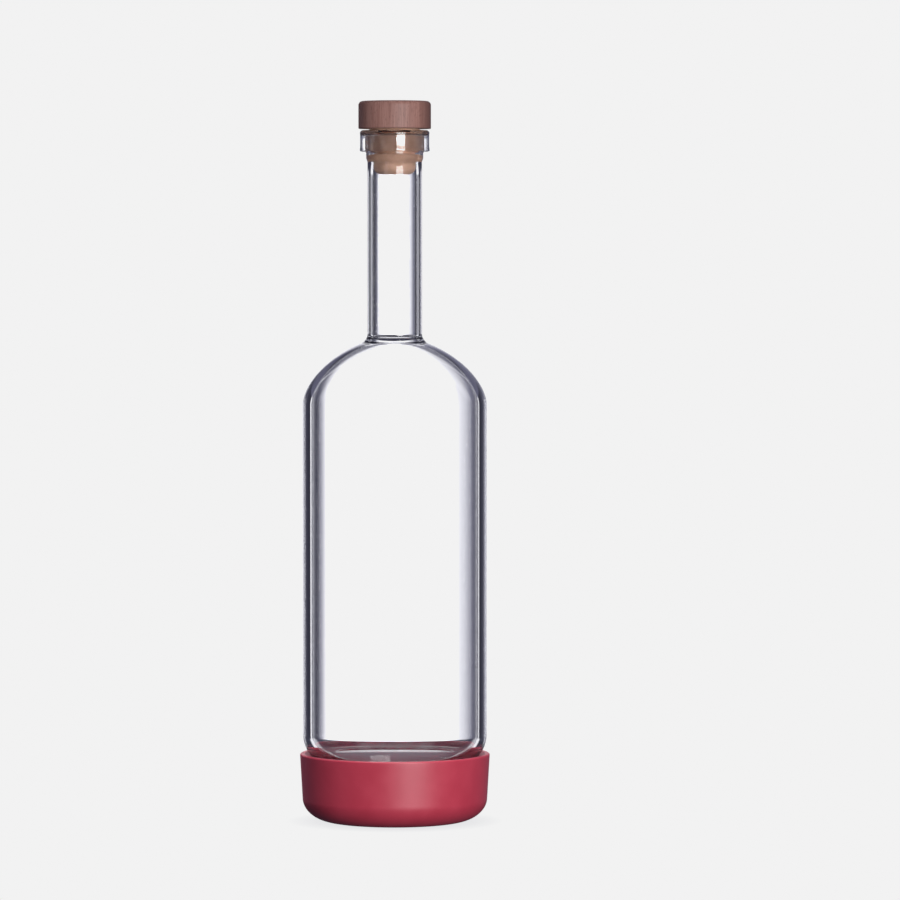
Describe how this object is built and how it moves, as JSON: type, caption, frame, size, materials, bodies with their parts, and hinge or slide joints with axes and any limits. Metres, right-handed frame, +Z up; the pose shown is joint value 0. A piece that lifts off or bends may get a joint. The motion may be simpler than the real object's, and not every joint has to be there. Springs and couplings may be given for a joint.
{
  "type": "infusion bottle",
  "caption": "Clear glass infusion bottle with a long neck and a folded drip lip, standing in a soft cup-shaped base and closed by a plug under a wooden disc.",
  "frame": {"origin": "middle of the base's flat underside", "axes": "+Z up along the bottle's axis, from the base to the wooden disc; X and Y are free, because every piece is turned about Z"},
  "size_m": [0.0724, 0.0724, 0.274],
  "materials": {
    "glass": "clear and polished",
    "base_silicone": "satin red",
    "plug_rubber": "satin tan",
    "cap_wood": "turned and oiled"
  },
  "bodies": {
    "root": {"glass_bottle": "glass", "base_cup": "base_silicone", "stopper_plug": "plug_rubber", "cap_disc": "cap_wood"}
  },
  "joints": []
}
